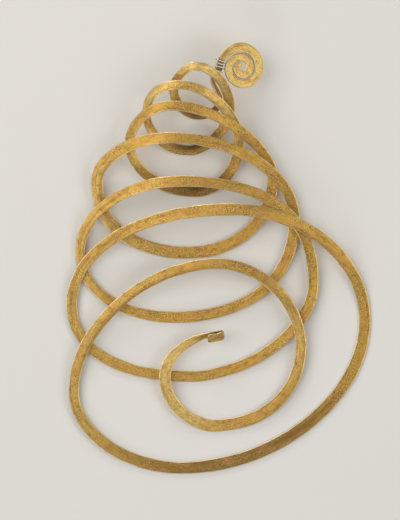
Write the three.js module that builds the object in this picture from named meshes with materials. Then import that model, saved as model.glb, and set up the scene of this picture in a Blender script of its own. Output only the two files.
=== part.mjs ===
import * as THREE from "three";

// A brass necklace: one flat hammered band that starts in a small scroll, coils down in
// ever wider leaning turns and ends in a folded hook, with a thin wire bound round its neck.
// It lies on a surface at z = 0 and is seen from above, the scroll towards +Y.

// Driving dimensions of the band, in millimetres
const coilLength = 345; // laid-out coil from the scroll to the last big turn
const bandWidth = 9.9;
const bandThickness = 2;
const edgeThickness = 1.2; // left at the hammered-down edges
const bevelWidth = 0.9; // from each edge in to the full thickness
const crossingGap = 1; // free height kept where one turn lies over another
const layer = bandThickness + crossingGap; // one turn's height over the turn it crosses

// Driving dimensions of the scroll
const scrollWidth = 6.5;
const scrollTipWidth = 3.6;
const scrollOuterWidth = 7.5;
const neckWidth = 5.7; // where the wire is bound
const scrollGap = 0.9; // between one winding of the scroll and the next
const scrollEyeRadius = 0.7;
const scrollTurns = 2.25;
const tipTaper = 0.3; // in turns from the tip, over which the band reaches its width
const outerStart = 1.5; // in turns from the tip, where the band widens again
const outerTaper = 0.3; // in turns, over which it widens
const neckTaper = 0.25; // in turns before the neck, over which it narrows
const neckClearing = 0.2; // in turns before the neck, over which the gap opens for the wire
const eyeGrowth = 1.6; // how the first winding opens: above 1 it stays close to the eye first
const scrollLean = 23; // degrees, its right side lower
const scrollHeight = 7.6; // of its centre, in layers
const scrollCentre = [5.4, 43.8]; // percent of the coil's length

// Driving dimensions of the binding wire
const wireDiameter = 0.9;
const wireClearance = 0.35;
const wireTurns = 3.5;
const wirePitch = 2.4;
const wireTail = 1.6; // loose end past the band's edge
const wireTailRise = 0.2; // its height over the band's middle, as a share of the wire's reach
const wireStart = -5.5; // along the band, counted from the end of the scroll

// Driving dimensions of the hook
const hookWidth = 5.8;
const hookThickness = 1.6;
const hookLeg = 12.3;
const hookReturn = 10.3;
const hookBendRadius = 2.8;
const hookTilt = -42; // degrees, the edge away from the last turn higher

// The neck bends away from the scroll and twists on edge, as a row like those of the turns
const neckBend = [[-1.35, 41.1], 1, 7.5, 64, 0.6];

// The turns, from the scroll to the hook. Each row is the outermost point of the turn on one
// side: [x, y] in percent of the coil's length, the fullness of the quarter turn that follows
// (1 is an ellipse), the height in layers, the bank in degrees (inner edge up) and the width
// as a share of the full band. The sides follow one another as right, bottom, left, top.
const turns = [
  [[0.25, 36.6], 1, 6, 54, 0.7],
  [[-4.4, 33.1], 0.9, 0.9, 25, 0.76],
  [[-10.3, 38.5], 0.9, 6.2, 5, 0.8],
  [[-5.2, 43.9], 0.98, 12.9, 0, 0.74],
  [[2.6, 34.3], 0.8, 5.6, -5, 0.84],
  [[-6.8, 24.9], 1, 0.9, 5, 0.85],
  [[-16.5, 33.4], 1.2, 6.2, 32, 0.8],
  [[-8.9, 39.7], 0.85, 11.6, 10, 0.75],
  [[4.8, 27], 1, 3.7, -5, 0.9],
  [[-5.4, 15.4], 0.95, 0, 0, 0.9],
  [[-20.5, 26.3], 0.95, 5, 25, 0.84],
  [[-10.8, 35], 0.8, 10.9, 10, 0.83],
  [[12.6, 18.6], 1.05, 1.7, -5, 0.9],
  [[-7.1, 1.3], 1.1, 0, 0, 1],
  [[-28.1, 17.6], 1, 2.2, 8, 1],
  [[-10.8, 27.6], 1, 9.6, 12, 0.93],
  [[17.6, 8.8], 1.1, 1.4, -5, 0.92],
  [[-10.1, -13.7], 1.05, 0, 0, 0.9],
  [[-32, 1.6], 1, 0.8, 8, 0.86],
  [[-8.5, 17.7], 1.2, 8.4, 15, 0.92],
  [[22, -5.6], 0.9, 1.6, -5, 0.88],
  [[-7.1, -27.4], 1.1, 0, 0, 0.9],
  [[-34, -11], 1.05, 0.7, 0, 0.92],
  [[2.7, 11.2], 1, 8.4, 5, 0.98],
  [[33.9, -14.4], 0.95, 0, 0, 1],
  [[-8.9, -48.6], 0.95, 0, 0, 1],
  [[-33.5, -30.8], 0.9, 1.1, 0, 0.92],
  [[-0.2, -1.3], 0.95, 5.8, 8, 0.9],
  [[19.1, -20.2], 1.05, 2, 0, 0.88],
  [[-0.9, -38.8], 0.9, 0, 0, 1],
  [[-12.4, -28], 1.06, 2.2, 0, 0.95],
];

// The band's end before the hook, as a row like those of the turns
const hookApproach = [[-5.4, -18.8], 1, 3.1, -8, 0.67];
const hookApproachHeading = 23.5; // degrees
const hookStart = [-3.2, -17.95]; // percent of the coil's length
const hookHeading = 10; // degrees, the band's direction as it enters the hook
const hookHeight = 3.4; // in layers

const radians = THREE.MathUtils.degToRad;
const up = new THREE.Vector3(0, 0, 1);
const restHeight = bandThickness / 2; // the band's middle where it lies on the surface
const denseStep = 0.5; // between the samples that the mesh stations are picked from

function plan(percent) {
  return new THREE.Vector2(percent[0], percent[1]).multiplyScalar(coilLength / 100);
}

function heightOf(layers) {
  return restHeight + layers * layer;
}

function headingOf(degrees) {
  return new THREE.Vector2(Math.cos(radians(degrees)), Math.sin(radians(degrees)));
}

function smooth(x) {
  return THREE.MathUtils.smoothstep(x, 0, 1);
}

// The middle and frame of the scroll, from its tip outwards. Every winding lies one gap
// outside the winding before it, so the scroll grows with the width of its band.
function scrollStations() {
  const stepAngle = 6;
  const perTurn = 360 / stepAngle;
  const last = Math.round(scrollTurns * perTurn);
  const centre = plan(scrollCentre);
  const lean = radians(scrollLean);
  const across = new THREE.Vector3(Math.cos(lean), 0, -Math.sin(lean));
  const face = new THREE.Vector3(Math.sin(lean), 0, Math.cos(lean));
  const outer = [];
  const rows = [];
  for (let i = 0; i <= last; i++) {
    const turn = i / perTurn;
    const left = scrollTurns - turn; // turns still to go to the neck
    let width = THREE.MathUtils.lerp(scrollTipWidth, scrollWidth, smooth(turn / tipTaper));
    width += (scrollOuterWidth - scrollWidth) * smooth((turn - outerStart) / outerTaper);
    width = THREE.MathUtils.lerp(neckWidth, width, smooth(left / neckTaper));
    const room = wireDiameter + 2 * wireClearance;
    const gap = THREE.MathUtils.lerp(room, scrollGap, smooth(left / neckClearing));
    const firstEdge = scrollEyeRadius + (scrollTipWidth + scrollGap) * turn ** eyeGrowth;
    const inner = turn < 1 ? firstEdge : outer[i - perTurn] + gap;
    outer.push(inner + width);
    const angle = radians(90 + i * stepAngle);
    const radius = inner + width / 2;
    const centrePoint = new THREE.Vector3(centre.x, centre.y, heightOf(scrollHeight))
      .addScaledVector(across, radius * Math.cos(angle));
    centrePoint.y += radius * Math.sin(angle);
    const outward = across.clone().multiplyScalar(Math.cos(angle));
    outward.y = Math.sin(angle);
    rows.push({ at: centrePoint, side: outward, face, width, thickness: bandThickness });
  }
  return rows;
}

// One quarter turn between two points with known directions, as a cubic curve whose handles
// make a true ellipse quarter when the fullness is 1.
function quarterTurn(from, to, fullness) {
  const chord = to.at.clone().sub(from.at);
  const turning = Math.acos(THREE.MathUtils.clamp(from.heading.dot(to.heading), -1, 1));
  const shape = turning < 0.2 ? 1 / 3 : (4 / 3) * Math.tan(turning / 4) / Math.sin(turning);
  const reachOut = fullness * shape * Math.abs(chord.dot(from.heading));
  const reachIn = fullness * shape * Math.abs(chord.dot(to.heading));
  return new THREE.CubicBezierCurve(
    from.at,
    from.at.clone().addScaledVector(from.heading, reachOut),
    to.at.clone().addScaledVector(to.heading, -reachIn),
    to.at,
  );
}

// A smooth run of values through knots that never overshoots them.
function steadyCurve(places, values, startSlope, endSlope) {
  const rises = values.slice(1).map((v, i) => (v - values[i]) / (places[i + 1] - places[i]));
  const slopes = values.map((v, i) => {
    if (i === 0) return startSlope;
    if (i === values.length - 1) return endSlope;
    const before = rises[i - 1];
    const after = rises[i];
    return before * after <= 0 ? 0 : (2 * before * after) / (before + after);
  });
  return (place) => {
    let i = 0;
    while (i < rises.length - 1 && place > places[i + 1]) i++;
    const span = places[i + 1] - places[i];
    const t = THREE.MathUtils.clamp((place - places[i]) / span, 0, 1);
    const keep = (1 + 2 * t) * (1 - t) ** 2;
    const startPull = t * (1 - t) ** 2 * span * slopes[i];
    const endPull = t * t * (t - 1) * span * slopes[i + 1];
    return keep * values[i] + (1 - keep) * values[i + 1] + startPull + endPull;
  };
}

// The coil from the end of the scroll to the start of the hook.
function coilStations(exit, exitDirection) {
  const headings = [
    new THREE.Vector2(0, -1),
    new THREE.Vector2(-1, 0),
    new THREE.Vector2(0, 1),
    new THREE.Vector2(1, 0),
  ];
  const knot = ([spot, fullness, layers, bank, share], heading) => ({
    at: plan(spot),
    heading,
    fullness,
    height: heightOf(layers),
    bank,
    width: share * bandWidth,
    thickness: bandThickness,
  });
  const knots = [{
    at: new THREE.Vector2(exit.at.x, exit.at.y),
    heading: new THREE.Vector2(exitDirection.x, exitDirection.y).normalize(),
    fullness: 1,
    height: exit.at.z,
    bank: scrollLean,
    width: neckWidth,
    thickness: bandThickness,
  }];
  knots.push(knot(neckBend, headings[0]));
  turns.forEach((row, i) => knots.push(knot(row, headings[i % headings.length])));
  knots.push(knot(hookApproach, headingOf(hookApproachHeading)));
  knots.push({
    at: plan(hookStart),
    heading: headingOf(hookHeading),
    fullness: 1,
    height: heightOf(hookHeight),
    bank: hookTilt,
    width: hookWidth,
    thickness: hookThickness,
  });
  const flat = [];
  const places = [0];
  knots.slice(1).forEach((to, i) => {
    const curve = quarterTurn(knots[i], to, knots[i].fullness);
    const length = curve.getLength();
    const steps = Math.ceil(length / denseStep);
    for (let j = 0; j < steps; j++) {
      flat.push({
        at: curve.getPointAt(j / steps),
        along: curve.getTangentAt(j / steps),
        place: places[i] + (length * j) / steps,
      });
    }
    places.push(places[i] + length);
  });
  const slope = exitDirection.z / Math.hypot(exitDirection.x, exitDirection.y);
  const through = (name, startSlope = 0) =>
    steadyCurve(places, knots.map((each) => each[name]), startSlope, 0);
  const height = through("height", slope);
  const bank = through("bank");
  const width = through("width");
  const thickness = through("thickness");
  return flat.map(({ at, along, place }) => {
    const climb = height(place + denseStep / 2) - height(place - denseStep / 2);
    const tangent = new THREE.Vector3(along.x, along.y, climb / denseStep).normalize();
    const inward = tangent.clone().cross(up).normalize();
    const above = inward.clone().cross(tangent);
    const turnBy = radians(bank(place));
    return {
      at: new THREE.Vector3(at.x, at.y, height(place)),
      side: inward.clone().multiplyScalar(Math.cos(turnBy)).addScaledVector(above, Math.sin(turnBy)),
      face: above.clone().multiplyScalar(Math.cos(turnBy)).addScaledVector(inward, -Math.sin(turnBy)),
      width: width(place),
      thickness: thickness(place),
    };
  });
}

// The hook: the narrowed end runs straight, bends over towards its face and lies back.
function hookStations() {
  const tilt = radians(hookTilt);
  const heading = headingOf(hookHeading);
  const along = new THREE.Vector3(heading.x, heading.y, 0);
  const inward = along.clone().cross(up);
  const side = inward.clone().multiplyScalar(Math.cos(tilt)).addScaledVector(up, Math.sin(tilt));
  const face = up.clone().multiplyScalar(Math.cos(tilt)).addScaledVector(inward, -Math.sin(tilt));
  const start = plan(hookStart);
  const origin = new THREE.Vector3(start.x, start.y, heightOf(hookHeight));
  const bendLength = Math.PI * hookBendRadius;
  const total = hookLeg + bendLength + hookReturn;
  const steps = Math.ceil(total / denseStep);
  const rows = [];
  for (let i = 0; i <= steps; i++) {
    const gone = (total * i) / steps;
    const bent = THREE.MathUtils.clamp((gone - hookLeg) / hookBendRadius, 0, Math.PI);
    const ahead = Math.min(gone, hookLeg) - Math.max(gone - hookLeg - bendLength, 0);
    const at = origin.clone()
      .addScaledVector(along, ahead + hookBendRadius * Math.sin(bent))
      .addScaledVector(face, hookBendRadius * (1 - Math.cos(bent)));
    const turned = face.clone().multiplyScalar(Math.cos(bent))
      .addScaledVector(along, -Math.sin(bent));
    rows.push({ at, side, face: turned, width: hookWidth, thickness: hookThickness });
  }
  return rows;
}

function bandStations() {
  const scroll = scrollStations();
  const exit = scroll[scroll.length - 1];
  const before = scroll[scroll.length - 2];
  const direction = exit.at.clone().sub(before.at).normalize();
  const coil = coilStations(exit, direction);
  // The right-hand side, which is the scroll's outer edge, becomes the coil's inner edge.
  const rows = [...scroll.slice(0, -1), ...coil, ...hookStations()];
  let place = 0;
  rows.forEach((row, i) => {
    if (i > 0) place += row.at.distanceTo(rows[i - 1].at);
    row.place = place;
  });
  rows.neckPlace = rows[scroll.length - 1].place;
  return rows;
}

// Stations far enough apart to keep the facets few: closer where the band bends or twists.
function sparseStations(rows, greatestTurn, greatestStep) {
  const kept = [rows[0]];
  for (let i = 1; i < rows.length - 1; i++) {
    const last = kept[kept.length - 1];
    const twist = last.side.angleTo(rows[i + 1].side) + last.face.angleTo(rows[i + 1].face);
    if (twist > radians(greatestTurn) || rows[i + 1].place - last.place > greatestStep) {
      kept.push(rows[i]);
    }
  }
  kept.push(rows[rows.length - 1]);
  return kept;
}

// The section of the band: flat faces, bevelled down to thin upright edges.
function bandSection({ width, thickness }) {
  const edge = width / 2;
  const shoulder = Math.max(edge - bevelWidth, edge / 3);
  const half = thickness / 2;
  const rim = half * (edgeThickness / bandThickness);
  return [
    [edge, rim], [edge, -rim], [shoulder, -half], [-shoulder, -half],
    [-edge, -rim], [-edge, rim], [-shoulder, half], [shoulder, half],
  ];
}

// One closed skin over a row of sections, with flat ends.
function skin(sections) {
  const count = sections[0].length;
  const points = sections.flat().flatMap((p) => [p.x, p.y, p.z]);
  const faces = [];
  for (let i = 0; i < sections.length - 1; i++) {
    for (let j = 0; j < count; j++) {
      const a = i * count + j;
      const b = i * count + ((j + 1) % count);
      faces.push(a, b, a + count, b, b + count, a + count);
    }
  }
  const end = (sections.length - 1) * count;
  for (let j = 1; j < count - 1; j++) {
    faces.push(0, j + 1, j, end, end + j, end + j + 1);
  }
  const geometry = new THREE.BufferGeometry();
  geometry.setAttribute("position", new THREE.Float32BufferAttribute(points, 3));
  geometry.setIndex(faces);
  geometry.computeVertexNormals();
  return geometry;
}

function placed(row, u, v) {
  return row.at.clone().addScaledVector(row.side, u).addScaledVector(row.face, v);
}

function bandMesh(rows) {
  const greatestTurn = 13;
  const greatestStep = 14;
  const stations = sparseStations(rows, greatestTurn, greatestStep);
  const geometry = skin(stations.map((row) => bandSection(row).map(([u, v]) => placed(row, u, v))));
  const brass = new THREE.MeshStandardMaterial({
    color: "#b08d4a", metalness: 1, roughness: 0.42, flatShading: true,
  });
  const mesh = new THREE.Mesh(geometry, brass);
  mesh.name = "coiled_band";
  return mesh;
}

// The wire goes round the neck in flat oblong turns, a clearance outside the band.
function wireMesh(rows) {
  const perTurn = 16;
  const sides = 6;
  const radius = wireDiameter / 2;
  const rounding = 1 / 3; // lower is squarer
  const steps = Math.round(wireTurns * perTurn);
  const bandAt = (place) => {
    let i = 1;
    while (i < rows.length - 1 && rows[i].place < place) i++;
    const t = (place - rows[i - 1].place) / (rows[i].place - rows[i - 1].place);
    return {
      at: rows[i - 1].at.clone().lerp(rows[i].at, t),
      side: rows[i - 1].side.clone().lerp(rows[i].side, t).normalize(),
      face: rows[i - 1].face.clone().lerp(rows[i].face, t).normalize(),
      width: THREE.MathUtils.lerp(rows[i - 1].width, rows[i].width, t),
    };
  };
  const path = [];
  for (let i = 0; i <= steps; i++) {
    const turn = i / perTurn;
    const row = bandAt(rows.neckPlace + wireStart + turn * wirePitch);
    const reachSide = row.width / 2 + wireClearance + radius;
    const reachFace = bandThickness / 2 + wireClearance + radius;
    const angle = Math.PI * 2 * turn;
    const bend = (value) => Math.sign(value) * Math.abs(value) ** rounding;
    path.push(placed(row, bend(Math.cos(angle)) * reachSide, bend(Math.sin(angle)) * reachFace));
    if (i === 0) path.unshift(placed(row, reachSide + wireTail, wireTailRise * reachFace));
  }
  const sections = path.map((point, i) => {
    const before = path[Math.max(i - 1, 0)];
    const after = path[Math.min(i + 1, path.length - 1)];
    const along = after.clone().sub(before).normalize();
    const row = bandAt(rows.neckPlace + wireStart);
    const forward = row.side.clone().cross(row.face);
    const across = forward.clone().addScaledVector(along, -forward.dot(along)).normalize();
    const outward = along.clone().cross(across);
    return Array.from({ length: sides }, (_, j) => {
      const angle = (Math.PI * 2 * j) / sides;
      return point.clone()
        .addScaledVector(across, radius * Math.cos(angle))
        .addScaledVector(outward, radius * Math.sin(angle));
    });
  });
  const silver = new THREE.MeshStandardMaterial({
    color: "#b9b6ac", metalness: 1, roughness: 0.35, flatShading: true,
  });
  const mesh = new THREE.Mesh(skin(sections), silver);
  mesh.name = "binding_wire";
  return mesh;
}

const rows = bandStations();
const necklace = new THREE.Group();
necklace.add(bandMesh(rows), wireMesh(rows));

// The origin is the middle of the footprint, on the surface.
const box = new THREE.Box3().setFromObject(necklace);
const middle = box.getCenter(new THREE.Vector3());
necklace.position.set(-middle.x, -middle.y, -box.min.z);

export default necklace;
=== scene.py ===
import math

import bpy
import numpy as np
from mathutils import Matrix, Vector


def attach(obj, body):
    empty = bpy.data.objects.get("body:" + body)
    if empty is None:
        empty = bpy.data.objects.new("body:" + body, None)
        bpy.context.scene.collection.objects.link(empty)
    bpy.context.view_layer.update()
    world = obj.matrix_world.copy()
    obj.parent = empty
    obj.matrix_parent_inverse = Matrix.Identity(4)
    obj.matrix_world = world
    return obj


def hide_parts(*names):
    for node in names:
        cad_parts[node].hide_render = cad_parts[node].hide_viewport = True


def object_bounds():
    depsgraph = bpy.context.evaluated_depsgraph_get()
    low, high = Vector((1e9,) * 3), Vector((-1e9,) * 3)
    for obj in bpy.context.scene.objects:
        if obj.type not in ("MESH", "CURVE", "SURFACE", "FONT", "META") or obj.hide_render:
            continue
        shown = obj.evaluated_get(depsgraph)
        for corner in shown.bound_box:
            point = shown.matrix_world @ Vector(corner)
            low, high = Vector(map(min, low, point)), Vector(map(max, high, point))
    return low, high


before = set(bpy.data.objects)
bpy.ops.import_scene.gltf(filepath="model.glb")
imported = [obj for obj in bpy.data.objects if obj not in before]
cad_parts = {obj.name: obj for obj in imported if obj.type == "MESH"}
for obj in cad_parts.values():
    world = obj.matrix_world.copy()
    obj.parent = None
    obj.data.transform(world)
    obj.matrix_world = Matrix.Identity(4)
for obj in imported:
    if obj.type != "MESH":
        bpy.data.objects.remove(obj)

cadBox = [list(map(float, corner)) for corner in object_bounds()]
mm = 0.001  # the necklace's values are in millimetres, and Blender works in metres

# the band as a whole, and its route below
band = {
    "coilLength": 345.0,  # laid-out coil, from the scroll to the last big turn
    "width": 9.9,
    "thickness": 2.0,
    "edgeThickness": 1.2,
    "bevelWidth": 0.9,
    "crossingGap": 1.0,  # free height where one turn lies over another
}


def plan(percent):
    # percent of the coil's length to millimetres
    return np.asarray(percent, float) * band["coilLength"] / 100


def heightOf(layers):
    # half a thickness over the surface, and one thickness and gap more for each layer
    return band["thickness"] / 2 + np.asarray(layers) * (band["thickness"] + band["crossingGap"])


def headingOf(degrees):
    # cosine and sine of the heading, counted from the right
    return np.array([math.cos(math.radians(degrees)), math.sin(math.radians(degrees))])


def smooth(x):
    # smooth step: three times the square less twice the cube, level before 0 and after 1
    t = np.clip(x, 0, 1)
    return t * t * (3 - 2 * t)


def mix(a, b, t):
    # from a to b in step with t
    return a + (b - a) * t


def unit(v):
    # the same direction with length one
    return v / np.linalg.norm(v, axis=-1, keepdims=True)


def lengthAlong(points):
    # how far each point lies along the line through all of them
    return np.concatenate([[0], np.cumsum(np.linalg.norm(np.diff(points, axis=0), axis=1))])


scroll = {
    "width": 6.5,
    "tipWidth": 3.6,
    "outerWidth": 7.5,
    "neckWidth": 5.7,  # where the wire is bound
    "gap": 0.9,
    "eyeRadius": 0.7,
    "turns": 2.25,
    "tipTaper": 0.3,  # in turns from the tip, over which the band reaches its width
    "outerStart": 1.5,  # in turns from the tip, where the band widens again
    "outerTaper": 0.3,  # in turns, over which it widens
    "neckTaper": 0.25,  # in turns before the neck, over which it narrows
    "neckClearing": 0.2,  # in turns before the neck, over which the gap opens for the wire
    "eyeGrowth": 1.6,  # how the first winding opens: above 1 it stays close to the eye first
    "lean": 23.0,  # degrees, right side lower
    "height": 7.6,  # of its centre, in layers
    "centre": (5.4, 43.8),  # percent of the coil's length
    "closing": 0.25,  # how far the inner edges are beaten into the gap
    "closeFrom": 30.0,  # place along the band from which they are
    "stepsPerTurn": 360,
}


def scrollRoute():
    # a spiral in a leaning plane: each winding's inner edge is the last winding's outer edge
    # plus the gap, so the radius of the middle line is inner edge plus half the width
    perTurn = scroll["stepsPerTurn"]
    last = round(scroll["turns"] * perTurn)
    turn = np.arange(last + 1) / perTurn
    left = scroll["turns"] - turn
    width = mix(scroll["tipWidth"], scroll["width"], smooth(turn / scroll["tipTaper"]))
    widened = smooth((turn - scroll["outerStart"]) / scroll["outerTaper"])
    width = width + (scroll["outerWidth"] - scroll["width"]) * widened
    width = mix(scroll["neckWidth"], width, smooth(left / scroll["neckTaper"]))
    room = wire["diameter"] + 2 * wire["clearance"]
    gap = mix(room, scroll["gap"], smooth(left / scroll["neckClearing"]))
    opening = (scroll["tipWidth"] + scroll["gap"]) * turn ** scroll["eyeGrowth"]
    inner = scroll["eyeRadius"] + opening
    for start in range(perTurn, last + 1, perTurn):
        stop = min(start + perTurn, last + 1)
        before = slice(start - perTurn, stop - perTurn)
        inner[start:stop] = inner[before] + width[before] + gap[start:stop]
    radius = inner + width / 2
    angle = np.radians(90 + turn * 360)
    lean = math.radians(scroll["lean"])
    across = np.array([math.cos(lean), 0, -math.sin(lean)])
    normal = np.array([math.sin(lean), 0, math.cos(lean)])
    centre = np.array([*plan(scroll["centre"]), heightOf(scroll["height"])])
    outward = np.cos(angle)[:, None] * across + np.sin(angle)[:, None] * np.array([0, 1, 0])
    return {
        "at": centre + radius[:, None] * outward,
        "side": outward,
        "face": np.broadcast_to(normal, outward.shape),
        "width": width,
        "thickness": np.full(len(turn), band["thickness"]),
    }


# the turns from the scroll to the hook. Each row is a turn's outermost point on one side, as
# right, bottom, left, top in turn: x and y in percent of the coil's length, fullness of the
# quarter turn that follows, height in layers, bank in degrees (inner edge up), width share
turnRows = np.array([
    (0.25, 36.6, 1, 6, 54, 0.7),
    (-4.4, 33.1, 0.9, 0.9, 25, 0.76),
    (-10.3, 38.5, 0.9, 6.2, 5, 0.8),
    (-5.2, 43.9, 0.98, 12.9, 0, 0.74),
    (2.6, 34.3, 0.8, 5.6, -5, 0.84),
    (-6.8, 24.9, 1, 0.9, 5, 0.85),
    (-16.5, 33.4, 1.2, 6.2, 32, 0.8),
    (-8.9, 39.7, 0.85, 11.6, 10, 0.75),
    (4.8, 27, 1, 3.7, -5, 0.9),
    (-5.4, 15.4, 0.95, 0, 0, 0.9),
    (-20.5, 26.3, 0.95, 5, 25, 0.84),
    (-10.8, 35, 0.8, 10.9, 10, 0.83),
    (12.6, 18.6, 1.05, 1.7, -5, 0.9),
    (-7.1, 1.3, 1.1, 0, 0, 1),
    (-28.1, 17.6, 1, 2.2, 8, 1),
    (-10.8, 27.6, 1, 9.6, 12, 0.93),
    (17.6, 8.8, 1.1, 1.4, -5, 0.92),
    (-10.1, -13.7, 1.05, 0, 0, 0.9),
    (-32, 1.6, 1, 0.8, 8, 0.86),
    (-8.5, 17.7, 1.2, 8.4, 15, 0.92),
    (22, -5.6, 0.9, 1.6, -5, 0.88),
    (-7.1, -27.4, 1.1, 0, 0, 0.9),
    (-34, -11, 1.05, 0.7, 0, 0.92),
    (2.7, 11.2, 1, 8.4, 5, 0.98),
    (33.9, -14.4, 0.95, 0, 0, 1),
    (-8.9, -48.6, 0.95, 0, 0, 1),
    (-33.5, -30.8, 0.9, 1.1, 0, 0.92),
    (-0.2, -1.3, 0.95, 5.8, 8, 0.9),
    (19.1, -20.2, 1.05, 2, 0, 0.88),
    (-0.9, -38.8, 0.9, 0, 0, 1),
    (-12.4, -28, 1.06, 2.2, 0, 0.95),
])
neckRow = np.array([(-1.35, 41.1, 1, 7.5, 64, 0.6)])  # the neck bends away and twists on edge
approachRow = np.array([(-5.4, -18.8, 1, 3.1, -8, 0.67)])  # just before the hook
approachHeading = 23.5  # degrees
quarterSamples = 600  # points on each quarter turn before it is resampled


def steadyCurve(places, values, startSlope, where):
    # cubic pieces through the knots with harmonic mean slopes, so nothing overshoots
    rises = np.diff(values) / np.diff(places)
    before, after = rises[:-1], rises[1:]
    same = before * after > 0
    middle = np.where(same, 2 * before * after / np.where(same, before + after, 1), 0)
    slopes = np.concatenate([[startSlope], middle, [0]])
    i = np.clip(np.searchsorted(places, where, side="right") - 1, 0, len(rises) - 1)
    span = places[i + 1] - places[i]
    t = np.clip((where - places[i]) / span, 0, 1)
    keep = (1 + 2 * t) * (1 - t) ** 2
    startPull = t * (1 - t) ** 2 * span * slopes[i]
    endPull = t * t * (t - 1) * span * slopes[i + 1]
    return keep * values[i] + (1 - keep) * values[i + 1] + startPull + endPull


def quarterTurn(a, headA, b, headB, fullness, t):
    # cubic curve whose handles make an ellipse quarter when the fullness is 1, and lie at a
    # third of the way when it hardly turns
    chord = b - a
    turning = math.acos(np.clip(np.dot(headA, headB), -1, 1))
    hardlyTurns = 0.2  # radians
    shape = 1 / 3
    if turning >= hardlyTurns:
        shape = 4 / 3 * math.tan(turning / 4) / math.sin(turning)
    outHandle = a + headA * fullness * shape * abs(np.dot(chord, headA))
    inHandle = b - headB * fullness * shape * abs(np.dot(chord, headB))
    t = t[:, None]
    left = 1 - t
    return left ** 3 * a + 3 * left ** 2 * t * outHandle + 3 * left * t * t * inHandle + t ** 3 * b


def coilRoute(exitPoint, exitDirection):
    # quarter turns through the outermost points, with height, bank and width eased between
    sides = np.array([(0, -1), (-1, 0), (0, 1), (1, 0)], float)
    rows = np.vstack([neckRow, turnRows, approachRow])
    spots = np.vstack([exitPoint[:2], plan(rows[:, :2]), plan(hook["start"])])
    heads = np.vstack([
        unit(exitDirection[:2]),
        sides[0],
        sides[np.arange(len(turnRows)) % 4],
        headingOf(approachHeading),
        headingOf(hook["heading"]),
    ])
    fullness = np.concatenate([[1], rows[:, 2]])
    samples = np.linspace(0, 1, quarterSamples)
    pieces = [
        quarterTurn(spots[i], heads[i], spots[i + 1], heads[i + 1], fullness[i], samples)[:-1]
        for i in range(len(spots) - 1)
    ]
    line = np.vstack(pieces + [spots[-1:]])
    place = lengthAlong(line)
    knots = place[::quarterSamples - 1]
    heights = np.concatenate([[exitPoint[2]], heightOf(rows[:, 3]), [heightOf(hook["height"])]])
    slope = exitDirection[2] / np.hypot(exitDirection[0], exitDirection[1])
    banks = np.concatenate([[scroll["lean"]], rows[:, 4], [hook["tilt"]]])
    widths = np.concatenate([[scroll["neckWidth"]], rows[:, 5] * band["width"], [hook["width"]]])
    plain = np.full(len(rows) + 1, band["thickness"])
    thicknesses = np.concatenate([plain, [hook["thickness"]]])
    bank = np.radians(steadyCurve(knots, banks, 0, place))
    at = np.column_stack([line, steadyCurve(knots, heights, slope, place)])
    tangent = unit(np.gradient(at, place, axis=0))
    inward = unit(np.cross(tangent, (0, 0, 1)))
    above = np.cross(inward, tangent)
    cos, sin = np.cos(bank)[:, None], np.sin(bank)[:, None]
    return {
        "at": at,
        "side": inward * cos + above * sin,
        "face": above * cos - inward * sin,
        "width": steadyCurve(knots, widths, 0, place),
        "thickness": steadyCurve(knots, thicknesses, 0, place),
    }


hook = {
    "width": 5.8,
    "thickness": 1.6,
    "leg": 12.3,
    "returnLeg": 10.3,
    "bendRadius": 2.8,
    "tilt": -42.0,  # degrees, the edge away from the last turn higher
    "start": (-3.2, -17.95),  # percent of the coil's length
    "heading": 10.0,  # degrees
    "height": 3.4,  # in layers
    "spread": 2.7,  # how much wider the leg that comes back is beaten, on its raised side
    "waves": 0.5,  # unevenness of that edge
    "waveLength": 3.5,
    "samples": 300,
}


def hookRoute():
    # straight leg, half circle towards the face, straight leg back
    tilt = math.radians(hook["tilt"])
    along = np.array([*headingOf(hook["heading"]), 0])
    upward = np.array([0, 0, 1.0])
    inward = np.cross(along, upward)
    side = inward * math.cos(tilt) + upward * math.sin(tilt)
    normal = upward * math.cos(tilt) - inward * math.sin(tilt)
    bendLength = math.pi * hook["bendRadius"]
    gone = np.linspace(0, hook["leg"] + bendLength + hook["returnLeg"], hook["samples"])
    bent = np.clip((gone - hook["leg"]) / hook["bendRadius"], 0, math.pi)
    ahead = np.minimum(gone, hook["leg"]) - np.maximum(gone - hook["leg"] - bendLength, 0)
    ahead = ahead + hook["bendRadius"] * np.sin(bent)
    lift = hook["bendRadius"] * (1 - np.cos(bent))
    origin = np.array([*plan(hook["start"]), heightOf(hook["height"])])
    return {
        "at": origin + ahead[:, None] * along + lift[:, None] * normal,
        "side": np.broadcast_to(side, (len(gone), 3)),
        "face": np.cos(bent)[:, None] * normal - np.sin(bent)[:, None] * along,
        "width": np.full(len(gone), hook["width"]),
        "thickness": np.full(len(gone), hook["thickness"]),
    }


def bandRoute():
    # scroll, turns and hook one after the other, with the place of each point along the band
    first = scrollRoute()
    exitDirection = unit(first["at"][-1] - first["at"][-7])
    second = coilRoute(first["at"][-1], exitDirection)
    third = hookRoute()
    cuts = (slice(0, -1), slice(0, -1), slice(0, None))
    route = {
        name: np.concatenate([part[name][cut] for part, cut in zip((first, second, third), cuts)])
        for name in first
    }
    route["place"] = lengthAlong(route["at"])
    neckPlace = route["place"][len(first["width"]) - 1]
    hookPlace = route["place"][-len(third["width"])]
    return route, neckPlace, hookPlace


def resample(route, where):
    # the route's values at new places along it, with the frame squared up again
    at, side, face = (
        np.column_stack([np.interp(where, route["place"], route[name][:, k]) for k in range(3)])
        for name in ("at", "side", "face")
    )
    side = unit(side)
    face = unit(face - (face * side).sum(1, keepdims=True) * side)
    return {
        "at": at,
        "side": side,
        "face": face,
        "place": where,
        "width": np.interp(where, route["place"], route["width"]),
        "thickness": np.interp(where, route["place"], route["thickness"]),
    }


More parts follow.
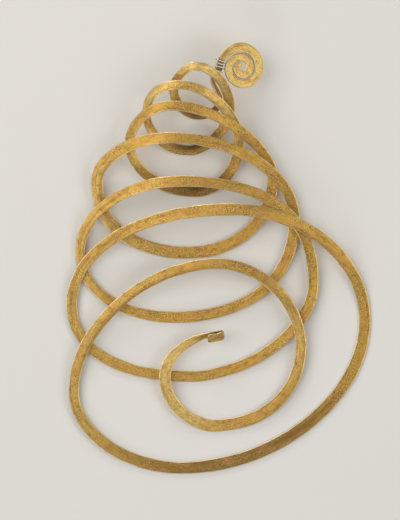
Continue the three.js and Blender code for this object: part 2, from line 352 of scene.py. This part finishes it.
def latticeNoise(x, y, seed):
    # random values on a square lattice, eased in between: -1 to 1
    size = 256
    values = np.random.RandomState(seed).uniform(-1, 1, (size, size))
    i, j = np.floor(x).astype(int), np.floor(y).astype(int)
    u, v = smooth(x - i), smooth(y - j)
    i, j = i % size, j % size
    i2, j2 = (i + 1) % size, (j + 1) % size
    return mix(mix(values[i, j], values[i2, j], u), mix(values[i, j2], values[i2, j2], u), v)


def meshObject(name, points, faces, uv, values):
    # points and quads or end faces into a mesh, with a UV map in metres and named values
    mesh = bpy.data.meshes.new(name)
    mesh.from_pydata(points.tolist(), [], faces)
    corner = np.empty(len(mesh.loops), np.int32)
    mesh.loops.foreach_get("vertex_index", corner)
    layer = mesh.uv_layers.new(name="alongAndAcross")
    layer.data.foreach_set("uv", uv[corner].astype(np.float32).ravel())
    for label, numbers in values.items():
        attribute = mesh.attributes.new(label, "FLOAT", "POINT")
        attribute.data.foreach_set("value", numbers.astype(np.float32).ravel())
    mesh.polygons.foreach_set("use_smooth", np.ones(len(mesh.polygons), bool))
    mesh.update()
    mesh.validate()
    piece = bpy.data.objects.new(name, mesh)
    bpy.context.scene.collection.objects.link(piece)
    return piece


def tubeFaces(rows, columns):
    # quads round a row of closed sections, and one face at each end
    i = np.arange(rows - 1)[:, None] * columns
    j = np.arange(columns)[None, :]
    k = (j + 1) % columns
    quads = np.stack([i + j, i + k, i + k + columns, i + j + columns], axis=-1).reshape(-1, 4)
    first = list(range(columns))[::-1]
    last = list(range((rows - 1) * columns, rows * columns))
    return quads.tolist() + [first, last]


# how the band was beaten and has worn, and where shade and highlights are painted into its colour
hammering = {
    "coilStep": 1.2,  # between stations of the mesh
    "tightStep": 0.5,  # the same in the scroll and the hook
    "shoulder": (0, 0.12, 0.35, 0.8, 1.3),  # from the edge in to each point of the section
    "shoulderHalf": 2.6,  # a band of less than this half width has them closer together
    "flatPoints": 6,  # between the shoulders
    "dentDepth": 0.12,  # single hammer marks
    "dentSize": (7.0, 4.5),  # along and across the band, and so on for the next ones
    "fineDentShare": 0.5,
    "fineDentSize": (3.1, 2.2),
    "swellDepth": 0.12,  # longer, shallower unevenness
    "swellSize": (30.0, 8.0),
    "sink": 0.16,  # keeps the dents and swells below the solid's faces
    "wander": 0.36,  # how far the edges are beaten in here and there
    "wanderLength": 17.0,
    "fineWanderShare": 0.45,
    "fineWanderLength": 6.0,
    "facetDepth": 0.42,  # the wide bevel beaten into the inner edge here and there
    "facetWidth": 3.4,
    "facetLength": 75.0,
    "inset": 0.2,  # keeps the widest turns' edges inside the solid's outline
    "insetFrom": 106.0,  # millimetres from the middle
    "tipRound": 2.4,  # rounding of both ends
    "tipShare": 0.45,  # of the width, left at the very end
    "rimWidth": 1.1,  # the paler edge: rubbed, and a painted highlight
    # place along the band, spread and share of the browner stretches, patina on the big turn's foot
    # and painted shade low in the first turns, and of the painted highlights
    "brownAndShadePlaces": (
        (160, 10, 0.8), (200, 22, 0.9), (365, 22, 0.5), (600, 30, 0.9), (1250, 35, 0.25),
        (2500, 115, 0.72),
    ),
    "highlightPlaces": (
        (240, 26, 1.0), (290, 34, 0.9), (440, 36, 0.85), (522, 36, 0.85), (1000, 40, 0.3),
        (2920, 60, 0.55), (3075, 40, 0.5), (3115, 50, 0.6), (3176, 12, 0.6),
    ),
    # painted shade low in the small first turns, on the inner half of the width, where the turns
    # above shade them
    "shadePlaces": ((206, 20, 0.8), (368, 24, 0.85), (600, 26, 0.6)),
    "patinaAll": 0.12,
    "leftSideHighlight": 0.4,  # painted highlight on the turns' left sides, brighter where the light comes from the left
    # painted shade under the wire binding, inside the hook's fold and along the scroll's gap
    "bindingShade": 0.65,
    "foldShade": 0.65,
    "gapShade": 0.8,
    "seed": 7,
}


def bandStations(route, neckPlace, hookPlace):
    # close stations in the scroll and the hook, wider ones on the turns between them
    tight, wide = hammering["tightStep"], hammering["coilStep"]
    inScroll = np.arange(0, neckPlace + 12, tight)
    onTurns = np.arange(inScroll[-1] + wide, hookPlace - 2, wide)
    inHook = np.arange(onTurns[-1] + tight, route["place"][-1], tight)
    return resample(route, np.concatenate([inScroll, onTurns, inHook, route["place"][-1:]]))


def sectionAcross(half):
    # places across the band: close together by the edges and even in the middle, the
    # underside's first and then the face's, so that they run once round the section
    squeeze = np.minimum(half / hammering["shoulderHalf"], 1)
    nearEdge = np.array(hammering["shoulder"]) * squeeze
    innerShare = np.linspace(-1, 1, hammering["flatPoints"] + 2)[1:-1]
    oneFace = np.concatenate([
        nearEdge - half,
        innerShare * (half - nearEdge[:, -1:]),
        (half - nearEdge)[:, ::-1],
    ], axis=1)
    columns = oneFace.shape[1]
    across = np.concatenate([oneFace[:, ::-1], oneFace], axis=1)
    upper = np.concatenate([-np.ones(columns), np.ones(columns)])[None, :]
    return across, upper


def bandZones(place, neckPlace, hookPlace):
    # shares from 0 to 1 along the band: distance past a place over the length it comes on in
    return {
        "free": smooth((place - neckPlace) / 25) * smooth((hookPlace - place) / 20),
        "inScroll": smooth((place - scroll["closeFrom"]) / 12) * smooth((neckPlace - place) / 8),
        "innerWindings": smooth((neckPlace - 60 - place) / 8),
        "bound": smooth((place - neckPlace + 7.5) / 2) * smooth((neckPlace + 8 - place) / 4),
        "inFold": smooth((place - hookPlace - 3) / 4),
        "folded": smooth((place - hookPlace - hook["leg"]) / 8),
    }


def beatenAcross(rows, across, half, zones):
    # the section's places across after beating: noise takes the edges in, the raised side of
    # the folded leg and of the scroll spreads out, and both ends close like a worn corner,
    # where the share of the width left is a quarter circle
    place = rows["place"][:, None]
    seed = hammering["seed"]
    lane = np.sign(across) * 3 + 0 * place  # each edge has its own row of the noise
    stray = latticeNoise(place / hammering["wanderLength"], lane, seed)
    fine = latticeNoise(place / hammering["fineWanderLength"], lane, seed + 1)
    stray = stray + hammering["fineWanderShare"] * fine
    takenIn = hammering["wander"] * mix(0.3, 1, zones["free"]) * np.minimum(stray - 0.15, 0)
    widest = smooth((np.abs(rows["at"][:, :1]) - hammering["insetFrom"]) / 6)
    beaten = across * (1 + (takenIn - hammering["inset"] * widest) / half)
    waves = latticeNoise(place / hook["waveLength"], 0 * across, seed + 8)
    spread = hook["spread"] + hook["waves"] * waves
    raised = np.clip(0.5 - across / (2 * half), 0, 1)  # 1 at the scroll's inner edge
    beaten = beaten - (zones["folded"] * spread + zones["inScroll"] * scroll["closing"]) * raised
    toEnd = np.minimum(place, place[-1] - place) / hammering["tipRound"]
    closing = np.sqrt(1 - (1 - np.clip(toEnd, 0, 1)) ** 2)
    return beaten * mix(hammering["tipShare"], 1, closing)


def facetShare(place, beaten, half, upper, zones):
    # where the wide bevel is: noise along the band times a smooth step to the inner edge
    noise = latticeNoise(place / hammering["facetLength"], 0 * beaten, hammering["seed"] + 2)
    width = hammering["facetWidth"]
    towardEdge = smooth((beaten - half + width) / width * 1.4)
    return smooth(noise * 1.6 + 0.1) * towardEdge * zones["free"] * (upper > 0)


def hammeredHeight(rows, beaten, across, half, upper, zones, facet):
    # height over the band's middle: half the thickness, less the rounded shoulder, which is
    # one minus the square of what is left to its width, less the wide bevel, plus the dents
    # and swells of noise, which fade to the rim
    place = rows["place"][:, None]
    seed = hammering["seed"]
    toEdge = half - np.abs(across)
    shoulder = 1 - (1 - np.clip(toEdge / band["bevelWidth"], 0, 1)) ** 2
    thick = rows["thickness"][:, None] / 2
    rimHalf = thick * band["edgeThickness"] / band["thickness"]
    height = mix(rimHalf, thick, shoulder) * (1 - 0.3 * smooth(1 - toEdge / 0.12))
    height = height - hammering["facetDepth"] * facet
    lane = 40 * upper  # the face and the underside have noise of their own
    sizes = (hammering["dentSize"], hammering["fineDentSize"], hammering["swellSize"])
    dents, fineDents, swell = (
        latticeNoise(place / length, beaten / width + lane, seed + 3 + i)
        for i, (length, width) in enumerate(sizes)
    )
    dents = dents + hammering["fineDentShare"] * fineDents
    relief = hammering["dentDepth"] * dents + hammering["swellDepth"] * swell
    relief = relief - hammering["sink"]
    inside = smooth(toEdge / 1.2 + 0.25)
    return (height + relief * inside * mix(0.5, 1, zones["free"])) * upper


def bellSum(place, spots):
    # a bell curve round each listed place, as high as its share, all added up
    return sum(share * np.exp(-((place - middle) / spread) ** 2) for middle, spread, share in spots)


def surfaceMarks(rows, across, half, upper, zones, neckPlace):
    # shares from 0 to 1 for the brass: rubbed rim with a painted highlight, brown patina with
    # painted shade, rubbed bright with painted highlights, and painted shade under the wire,
    # inside the fold of the hook, along the scroll's gap and low in the first turns
    place = rows["place"][:, None]
    toEdge = half - np.abs(across)
    # paler edges: rubbed wear and a painted highlight along both edges
    rim = 1 - np.clip(toEdge / hammering["rimWidth"], 0, 1)
    # brown patina all over and on the big turn's foot, plus painted shade at the listed places in
    # the first turns
    patinaAndShade = np.clip(hammering["patinaAll"] + bellSum(place, hammering["brownAndShadePlaces"]), 0, 1)
    # painted highlights at the listed places and on the turns' left sides, added to the rubbing over
    # the scroll
    bright = bellSum(place, hammering["highlightPlaces"])
    toLeft = smooth(rows["side"][:, :1] * 1.2 - 0.1)
    bright = bright + hammering["leftSideHighlight"] * toLeft * zones["free"]
    wornAndHighlight = np.clip(smooth(1.5 - place / neckPlace) + bright, 0, 1)
    # painted shade: along the scroll's gap, low in the first turns, under the wire and in the hook's
    # fold
    facesGap = zones["inScroll"] * (across < 0) + zones["innerWindings"] * (across > 0)
    gapEdge = facesGap * smooth(1 - toEdge / 0.5)
    low = bellSum(place, hammering["shadePlaces"]) * mix(0.15, 1, smooth(across / half + 0.45))
    grime = np.maximum(
        hammering["bindingShade"] * zones["bound"],
        hammering["foldShade"] * zones["inFold"] * (upper > 0),
    )
    grime = np.maximum(np.maximum(grime, hammering["gapShade"] * gapEdge), low)
    marks = {"rim": rim, "patinaAndShade": patinaAndShade, "grime": grime, "wornAndHighlight": wornAndHighlight}
    return {name: mark + 0 * across for name, mark in marks.items()}


def bandOffset(points):
    # from the route's own millimetres to the frame: the middle of the box, on the surface
    low, high = points.min(0), points.max(0)
    middle = (low + high) / 2
    target = (np.array(cadBox[0]) + np.array(cadBox[1])) / 2 / mm
    return np.array([target[0] - middle[0], target[1] - middle[1], -low[2]])


def makeBand(route, neckPlace, hookPlace):
    # every point is its station's middle, plus the side times its place across, plus the
    # face's direction times its height
    rows = bandStations(route, neckPlace, hookPlace)
    place = rows["place"][:, None]
    half = rows["width"][:, None] / 2
    across, upper = sectionAcross(half)
    zones = bandZones(place, neckPlace, hookPlace)
    beaten = beatenAcross(rows, across, half, zones)
    facet = facetShare(place, beaten, half, upper, zones)
    height = hammeredHeight(rows, beaten, across, half, upper, zones, facet)
    points = (rows["at"][:, None] + rows["side"][:, None] * beaten[..., None]
              + rows["face"][:, None] * height[..., None]).reshape(-1, 3)
    offset = bandOffset(points)
    underShift = 30  # the underside's patterns lie this far beside the face's
    uv = np.stack([np.broadcast_to(place, beaten.shape), beaten + underShift * (upper < 0)], axis=-1)
    marks = surfaceMarks(rows, across, half, upper, zones, neckPlace)
    # the wide bevel's share also darkens its colour, as painted shade
    marks["facet"] = facet
    piece = meshObject("hammeredBand", (points + offset) * mm, tubeFaces(*beaten.shape),
                       uv.reshape(-1, 2) * mm, marks)
    print("band:", len(beaten), "stations,", len(piece.data.polygons), "faces")
    return piece, offset


wire = {
    "diameter": 1.05,
    "clearance": 0.275,
    "turns": 3.5,
    "pitch": 2.4,
    "tail": 1.6,  # loose end past the band's edge
    "tailRise": 0.2,  # its height over the band's middle, as a share of the wire's reach
    "start": -5.5,  # along the band from the end of the scroll
    "stepsPerTurn": 64,
    "step": 0.22,  # between the mesh's sections
    "easing": 3,  # how often the corners of the oblong are eased
    "sides": 14,
    "squareness": 1 / 3,  # below 1 the turns are oblong
}


def oblong(value):
    # cosine or sine raised to a power below 1, which squares the turn
    return np.sign(value) * np.abs(value) ** wire["squareness"]


def makeWire(route, neckPlace, offset):
    # flat oblong turns round the neck: oblong cosine and sine times the reach, then a round
    # section square to the path
    steps = round(wire["turns"] * wire["stepsPerTurn"])
    turn = np.arange(steps + 1) / wire["stepsPerTurn"]
    rows = resample(route, neckPlace + wire["start"] + turn * wire["pitch"])
    radius = wire["diameter"] / 2
    reachSide = rows["width"] / 2 + wire["clearance"] + radius
    reachFace = band["thickness"] / 2 + wire["clearance"] + radius
    angle = 2 * math.pi * turn
    path = (rows["at"] + rows["side"] * (oblong(np.cos(angle)) * reachSide)[:, None]
            + rows["face"] * (oblong(np.sin(angle)) * reachFace)[:, None])
    firstAt, firstSide, firstFace = rows["at"][0], rows["side"][0], rows["face"][0]
    tailReach = reachSide[0] + wire["tail"]
    tip = firstAt + firstSide * tailReach + firstFace * wire["tailRise"] * reachFace
    path = np.vstack([tip, path])
    place = lengthAlong(path)
    where = np.arange(0, place[-1], wire["step"])
    path = np.column_stack([np.interp(where, place, path[:, k]) for k in range(3)])
    for _ in range(wire["easing"]):
        path[1:-1] = (path[:-2] + 2 * path[1:-1] + path[2:]) / 4
    along = unit(np.gradient(path, axis=0))
    forward = np.cross(firstSide, firstFace)
    across = unit(forward - (along @ forward)[:, None] * along)
    outward = np.cross(along, across)
    around = np.linspace(0, 2 * math.pi, wire["sides"], endpoint=False)
    points = (path[:, None] + radius * (np.cos(around)[None, :, None] * across[:, None]
                                        + np.sin(around)[None, :, None] * outward[:, None]))
    points = (points.reshape(-1, 3) + offset) * mm
    uv = np.stack(np.broadcast_arrays(where[:, None], around[None, :] * radius), axis=-1) * mm
    piece = meshObject("boundWire", points, tubeFaces(len(path), wire["sides"]),
                       uv.reshape(-1, 2), {})
    print("wire:", len(piece.data.polygons), "faces")
    return piece


def linear(hexColour):
    # sRGB hex to linear RGBA
    parts = [int(hexColour[i:i + 2], 16) / 255 for i in (1, 3, 5)]
    return [c / 12.92 if c <= 0.04045 else ((c + 0.055) / 1.055) ** 2.4 for c in parts] + [1.0]


def addNode(tree, kind, settings=None, inputs=None, result=None):
    # one node with its settings, and its inputs as values or as links from other sockets;
    # it gives back the socket named as the result, or the node itself
    node = tree.nodes.new(kind)
    for name, value in (settings or {}).items():
        setattr(node, name, value)
    for name, value in (inputs or {}).items():
        if isinstance(value, bpy.types.NodeSocket):
            tree.links.new(value, node.inputs[name])
        else:
            node.inputs[name].default_value = value
    return node if result is None else node.outputs[result]


def startMaterial(name):
    material = bpy.data.materials.new(name)
    material.use_nodes = True
    tree = material.node_tree
    tree.nodes.clear()
    shader = addNode(tree, "ShaderNodeBsdfPrincipled")
    addNode(tree, "ShaderNodeOutputMaterial", {}, {"Surface": shader.outputs["BSDF"]})
    return material, tree, shader


# a Mix node's sockets when it mixes colours
share, under, over, mixed = 0, 6, 7, 2

brassLook = {
    "gold": "#daae56",  # clean satin brass
    "pale": "#f8dc90",  # rubbed grains
    "brown": "#7a592a",  # patina lying in the streaks, and painted shade on the wide bevel
    "pink": "#cf9866",  # coppery patches
    "olive": "#ada04e",  # greenish patches
    "dark": "#3a2a1a",  # pits, and painted shade
    "foot": "#8a6b43",  # the browner patina over the big turn's foot, also used for painted shade low in the first turns
    "wornAndHighlight": "#ffdd8e",  # rubbed bright at the scroll, and painted highlights along the turns and at the hook
    "rim": "#feecc0",  # worn edges, with a painted highlight along them
    # each pattern's length and width, octaves, roughness, distortion and shift
    "patterns": {
        "patches": (34.0, 8.0, 2, 0.55, 0.0, 11.7),
        "tint": (9.0, 5.0, 3, 0.55, 0.0, 5.9),
        "streaks": (20.0, 1.0, 3, 0.55, 0.3, 3.1),
        "smears": (60.0, 4.0, 2, 0.55, 0.0, 7.7),
        "mottle": (5.5, 3.2, 3, 0.55, 0.0, 5.3),
        "grain": (1.15, 0.85, 4, 0.68, 0.0, 8.9),  # as coarse as it needs to show
    },
    # each coat in turn: what it follows, from which level to which it comes on, how strong
    # it gets and its colour
    "coats": (
        ("patches", 0.45, 0.7, 0.18, "brown"),
        ("patinaAndShade", 0, 1, 0.85, "foot"),
        ("wornAndHighlight", 0, 1, 0.92, "wornAndHighlight"),
        # the wide bevel darkened brown: painted shade
        ("facet", 0.2, 1, 0.35, "brown"),
        ("tint", 0.5, 0.62, 0.52, "pink"),
        ("tint", 0.49, 0.36, 0.33, "olive"),
        ("mottle", 0.5, 0.64, 0.28, "brown"),
        ("streaks", 0.52, 0.7, 0.25, "brown"),
        ("smears", 0.53, 0.66, 0.36, "brown"),
        ("grain", 0.52, 0.62, "grainShare", "pale"),
        ("grain", 0.48, 0.36, "darkGrainShare", "brown"),
        ("rim", 0.35, 0.75, 0.6, "rim"),
    ),
    "pitsAndShade": {"pits": 0.9, "grime": 0.85},  # the pits and the painted shade, by their own share
    "pitSpacing": 3.2,
    "pitStretch": 1.3,  # along the band
    "pitShift": 1.3,
    "pitRadius": 0.55,
    "roughness": 0.56,
    "mottledRoughness": 0.24,
    "edgeShine": 0.22,  # how much smoother the worn edges are
    "relief": {"streaks": 0.5, "grain": 0.6, "mottle": 1.2, "pits": -1.2},
    "reliefStrength": 0.8,
    "reliefHeight": 0.09,
}


def hammeredBrass():
    # hammered, rubbed brass: satin gold with a fine bright grain, coppery and greenish
    # patches, faint streaks along the band, small dark pits, paler edges with a painted highlight,
    # and painted shade and highlights carried by the marks on the mesh
    material, tree, shader = startMaterial("hammeredBrass")
    uv = addNode(tree, "ShaderNodeUVMap", {"uv_map": "alongAndAcross"}, {}, "UV")
    smoothly = {"interpolation_type": "SMOOTHSTEP"}

    # what the coats follow: marks kept on the mesh, and patterns scaled in millimetres
    follow = {
        name: addNode(tree, "ShaderNodeAttribute", {"attribute_name": name}, {}, "Fac")
        for name in ("rim", "patinaAndShade", "wornAndHighlight", "facet", "grime")
    }
    for name, values in brassLook["patterns"].items():
        length, width, octaves, roughness, distortion, shift = values
        scaled = addNode(tree, "ShaderNodeMapping", {}, {
            "Vector": uv,
            "Location": (shift, shift * 0.37, shift),
            "Scale": (1 / (length * mm), 1 / (width * mm), 1),
        }, "Vector")
        follow[name] = addNode(tree, "ShaderNodeTexNoise", {}, {
            "Vector": scaled,
            "Scale": 1.0,
            "Detail": octaves,
            "Roughness": roughness,
            "Distortion": distortion,
        }, "Fac")

    # small pits at the middles of cells, only where the mottling is high
    spacing, shift = brassLook["pitSpacing"], brassLook["pitShift"]
    scaled = addNode(tree, "ShaderNodeMapping", {}, {
        "Vector": uv,
        "Location": (shift, shift * 0.37, shift),
        "Scale": (1 / (spacing * brassLook["pitStretch"] * mm), 1 / (spacing * mm), 1),
    }, "Vector")
    cells = addNode(tree, "ShaderNodeTexVoronoi", {"feature": "F1"}, {
        "Vector": scaled,
        "Scale": 1.0,
    }, "Distance")
    pitted = addNode(tree, "ShaderNodeMapRange", smoothly, {
        "Value": follow["mottle"],
        "From Min": 0.48,
        "From Max": 0.58,
    }, "Result")
    radius = brassLook["pitRadius"] / spacing
    follow["pits"] = addNode(tree, "ShaderNodeMapRange", smoothly, {
        "Value": cells,
        "From Min": radius,
        "From Max": radius * 0.4,
        "To Max": pitted,
    }, "Result")

    # the grain shows in patches, and less where the patina and the painted shade are thick
    grainPatches = addNode(tree, "ShaderNodeMapRange", smoothly, {
        "Value": follow["patches"],
        "From Min": 0.38,
        "From Max": 0.6,
        "To Min": 0.3,
        "To Max": 0.85,
    }, "Result")
    dulled = addNode(tree, "ShaderNodeMapRange", smoothly, {
        "Value": follow["patinaAndShade"],
        "From Min": 0.3,
        "From Max": 0.9,
        "To Max": 0.4,
    }, "Result")
    subtract, multiply = {"operation": "SUBTRACT"}, {"operation": "MULTIPLY"}
    multiplyAdd = {"operation": "MULTIPLY_ADD"}
    grainShare = addNode(tree, "ShaderNodeMath", subtract, {0: grainPatches, 1: dulled}, "Value")
    follow["grainShare"] = grainShare
    follow["darkGrainShare"] = addNode(tree, "ShaderNodeMath", multiply, {
        0: grainShare,
        1: 0.7,
    }, "Value")

    # one coat over the other: the share rises in a smooth step with what the coat follows
    colour = linear(brassLook["gold"])
    for name, low, high, most, coat in brassLook["coats"]:
        strength = addNode(tree, "ShaderNodeMapRange", smoothly, {
            "Value": follow[name],
            "From Min": low,
            "From Max": high,
            "To Max": follow[most] if isinstance(most, str) else most,
        }, "Result")
        colour = addNode(tree, "ShaderNodeMix", {"data_type": "RGBA"}, {
            share: strength,
            under: colour,
            over: linear(brassLook[coat]),
        }, mixed)
    # the small pits darken the colour, then the painted shade does
    for name, most in brassLook["pitsAndShade"].items():
        strength = addNode(tree, "ShaderNodeMath", multiply, {0: follow[name], 1: most}, "Value")
        colour = addNode(tree, "ShaderNodeMix", {"data_type": "RGBA"}, {
            share: strength,
            under: colour,
            over: linear(brassLook["dark"]),
        }, mixed)
    tree.links.new(colour, shader.inputs["Base Color"])
    shader.inputs["Metallic"].default_value = 1.0

    # roughness follows the mottling round its middle value, less the worn edges' shine
    shine = addNode(tree, "ShaderNodeMapRange", smoothly, {
        "Value": follow["rim"],
        "From Min": 0.3,
        "From Max": 0.8,
        "To Max": brassLook["edgeShine"],
    }, "Result")
    matt = addNode(tree, "ShaderNodeMath", multiplyAdd, {
        0: follow["mottle"],
        1: brassLook["mottledRoughness"],
        2: brassLook["roughness"] - brassLook["mottledRoughness"] / 2,
    }, "Value")
    rough = addNode(tree, "ShaderNodeMath", subtract, {0: matt, 1: shine}, "Value")
    tree.links.new(rough, shader.inputs["Roughness"])

    # the finest relief: each pattern times its share, added up
    height = 0.0
    for name, part in brassLook["relief"].items():
        height = addNode(tree, "ShaderNodeMath", multiplyAdd, {
            0: follow[name],
            1: part,
            2: height,
        }, "Value")
    normal = addNode(tree, "ShaderNodeBump", {}, {
        "Height": height,
        "Strength": brassLook["reliefStrength"],
        "Distance": brassLook["reliefHeight"] * mm,
    }, "Normal")
    tree.links.new(normal, shader.inputs["Normal"])
    print("brass:", len(tree.nodes), "nodes")
    return material


wireLook = {
    "dull": "#cbc8c0",
    "bright": "#fbfaf6",
    "lineLength": 2.5,
    "lineWidth": 0.3,
    "lineDepth": 0.05,
    "lineStrength": 0.2,
    "roughness": 0.22,
}


def silveryWire():
    # drawn wire, dull from age: lengthwise draw lines and a little tarnish
    material, tree, shader = startMaterial("silveryWire")
    uv = addNode(tree, "ShaderNodeUVMap", {"uv_map": "alongAndAcross"}, {}, "UV")
    scaled = addNode(tree, "ShaderNodeMapping", {}, {
        "Vector": uv,
        "Scale": (1 / (wireLook["lineLength"] * mm), 1 / (wireLook["lineWidth"] * mm), 1),
    }, "Vector")
    lines = addNode(tree, "ShaderNodeTexNoise", {}, {
        "Vector": scaled,
        "Scale": 1.0,
        "Detail": 2.0,
    }, "Fac")
    colour = addNode(tree, "ShaderNodeMix", {"data_type": "RGBA"}, {
        share: lines,
        under: linear(wireLook["dull"]),
        over: linear(wireLook["bright"]),
    }, mixed)
    tree.links.new(colour, shader.inputs["Base Color"])
    shader.inputs["Metallic"].default_value = 1.0
    shader.inputs["Roughness"].default_value = wireLook["roughness"]
    normal = addNode(tree, "ShaderNodeBump", {}, {
        "Height": lines,
        "Strength": wireLook["lineStrength"],
        "Distance": wireLook["lineDepth"] * mm,
    }, "Normal")
    tree.links.new(normal, shader.inputs["Normal"])
    print("wire's metal:", len(tree.nodes), "nodes")
    return material


# sizes and places here are in metres, unless they say otherwise
studio = {
    "floorColour": "#ecebe8",
    "floorRoughness": 0.8,
    "floorSize": 6.0,
    "worldColour": "#e6e6e6",
    "worldStrength": 0.29,
    # each light's place, size, watts and colour
    "lights": {
        "keyLight": ((-1.6, 0.45, 2.1), (2.2, 2.2), 28, "#fffaf2"),  # large, from the upper left
        "fillLight": ((1.8, -0.3, 1.75), (1.5, 1.5), 16, "#fffcf6"),  # from the right
        "topLight": ((0, 0, 3.9), (2.4, 2.4), 5, "#ffffff"),
        "edgeLight": ((-0.6, 2.4, 1.0), (1.8, 0.8), 24, "#fffdf8"),  # low, lights upper edges
        "frontLight": ((-1.3, -2.0, 1.1), (1.6, 1.0), 12, "#fffcf6"),  # low, lights lower edges
    },
    "cameraHeight": 3.0,
    "sensorWidth": 36,  # millimetres, as wide as the photo's longer side
    "farthest": 20,
    "pixelSize": 0.8,  # millimetres in the photo at the surface
    "frameSize": (400, 520),
    "middlePixel": (218.25, 258.15),  # the route's zero point in the photo
}


def makeFloor():
    # plain pale surface
    size = studio["floorSize"] / 2
    corners = [(-size, -size, 0), (size, -size, 0), (size, size, 0), (-size, size, 0)]
    mesh = bpy.data.meshes.new("floor")
    mesh.from_pydata(corners, [], [(0, 1, 2, 3)])
    floor = bpy.data.objects.new("floor", mesh)
    bpy.context.scene.collection.objects.link(floor)
    material, tree, shader = startMaterial("paleFloor")
    shader.inputs["Base Color"].default_value = linear(studio["floorColour"])
    shader.inputs["Roughness"].default_value = studio["floorRoughness"]
    mesh.materials.append(material)
    print("floor:", studio["floorSize"], "m wide")


def areaLight(name, place, size, power, colour):
    # a rectangular light turned towards the origin: the angle off straight down, and the
    # heading, worked out from its place
    lamp = bpy.data.lights.new(name, "AREA")
    lamp.shape = "RECTANGLE"
    lamp.size, lamp.size_y = size
    lamp.energy = power
    lamp.color = linear(colour)[:3]
    light = bpy.data.objects.new(name, lamp)
    light.location = place
    toward = -np.array(place)
    light.rotation_euler = (
        math.atan2(math.hypot(toward[0], toward[1]), -toward[2]),
        0,
        math.atan2(toward[1], toward[0]) - math.pi / 2,
    )
    bpy.context.scene.collection.objects.link(light)


def makeLights():
    # the five soft lights and a grey sky
    bpy.context.scene.view_settings.view_transform = "Standard"  # brass keeps its colour
    for name, (place, size, power, colour) in studio["lights"].items():
        areaLight(name, place, size, power, colour)
    world = bpy.data.worlds.new("softSky")
    bpy.context.scene.world = world
    world.use_nodes = True
    background = world.node_tree.nodes["Background"]
    background.inputs["Color"].default_value = linear(studio["worldColour"])
    background.inputs["Strength"].default_value = studio["worldStrength"]
    print("lights:", ", ".join(studio["lights"]))


def makeCamera(offset):
    # straight down, with the photo's frame at its scale on the surface: the lens is the
    # sensor's width times the height over what the longer side covers
    camera = bpy.data.cameras.new("camera")
    camera.sensor_fit = "AUTO"
    camera.sensor_width = studio["sensorWidth"]
    frameWidth, frameHeight = studio["frameSize"]
    covered = frameHeight * studio["pixelSize"] * mm
    camera.lens = studio["sensorWidth"] * studio["cameraHeight"] / covered
    camera.clip_end = studio["farthest"]
    rig = bpy.data.objects.new("camera", camera)
    middle = studio["middlePixel"]
    x = (frameWidth / 2 - middle[0]) * studio["pixelSize"] + offset[0]
    y = (middle[1] - frameHeight / 2) * studio["pixelSize"] + offset[1]
    rig.location = (x * mm, y * mm, studio["cameraHeight"])
    bpy.context.scene.collection.objects.link(rig)
    bpy.context.scene.camera = rig
    print("camera:", studio["cameraHeight"], "m up, looking straight down")


route, neckPlace, hookPlace = bandRoute()
print("route:", round(float(route["place"][-1])), "mm")

bandPiece, offset = makeBand(route, neckPlace, hookPlace)
bandPiece.data.materials.append(hammeredBrass())
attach(bandPiece, "root")
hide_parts("coiled_band")

wirePiece = makeWire(route, neckPlace, offset)
wirePiece.data.materials.append(silveryWire())
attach(wirePiece, "root")
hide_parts("binding_wire")

makeFloor()
makeLights()
makeCamera(offset)
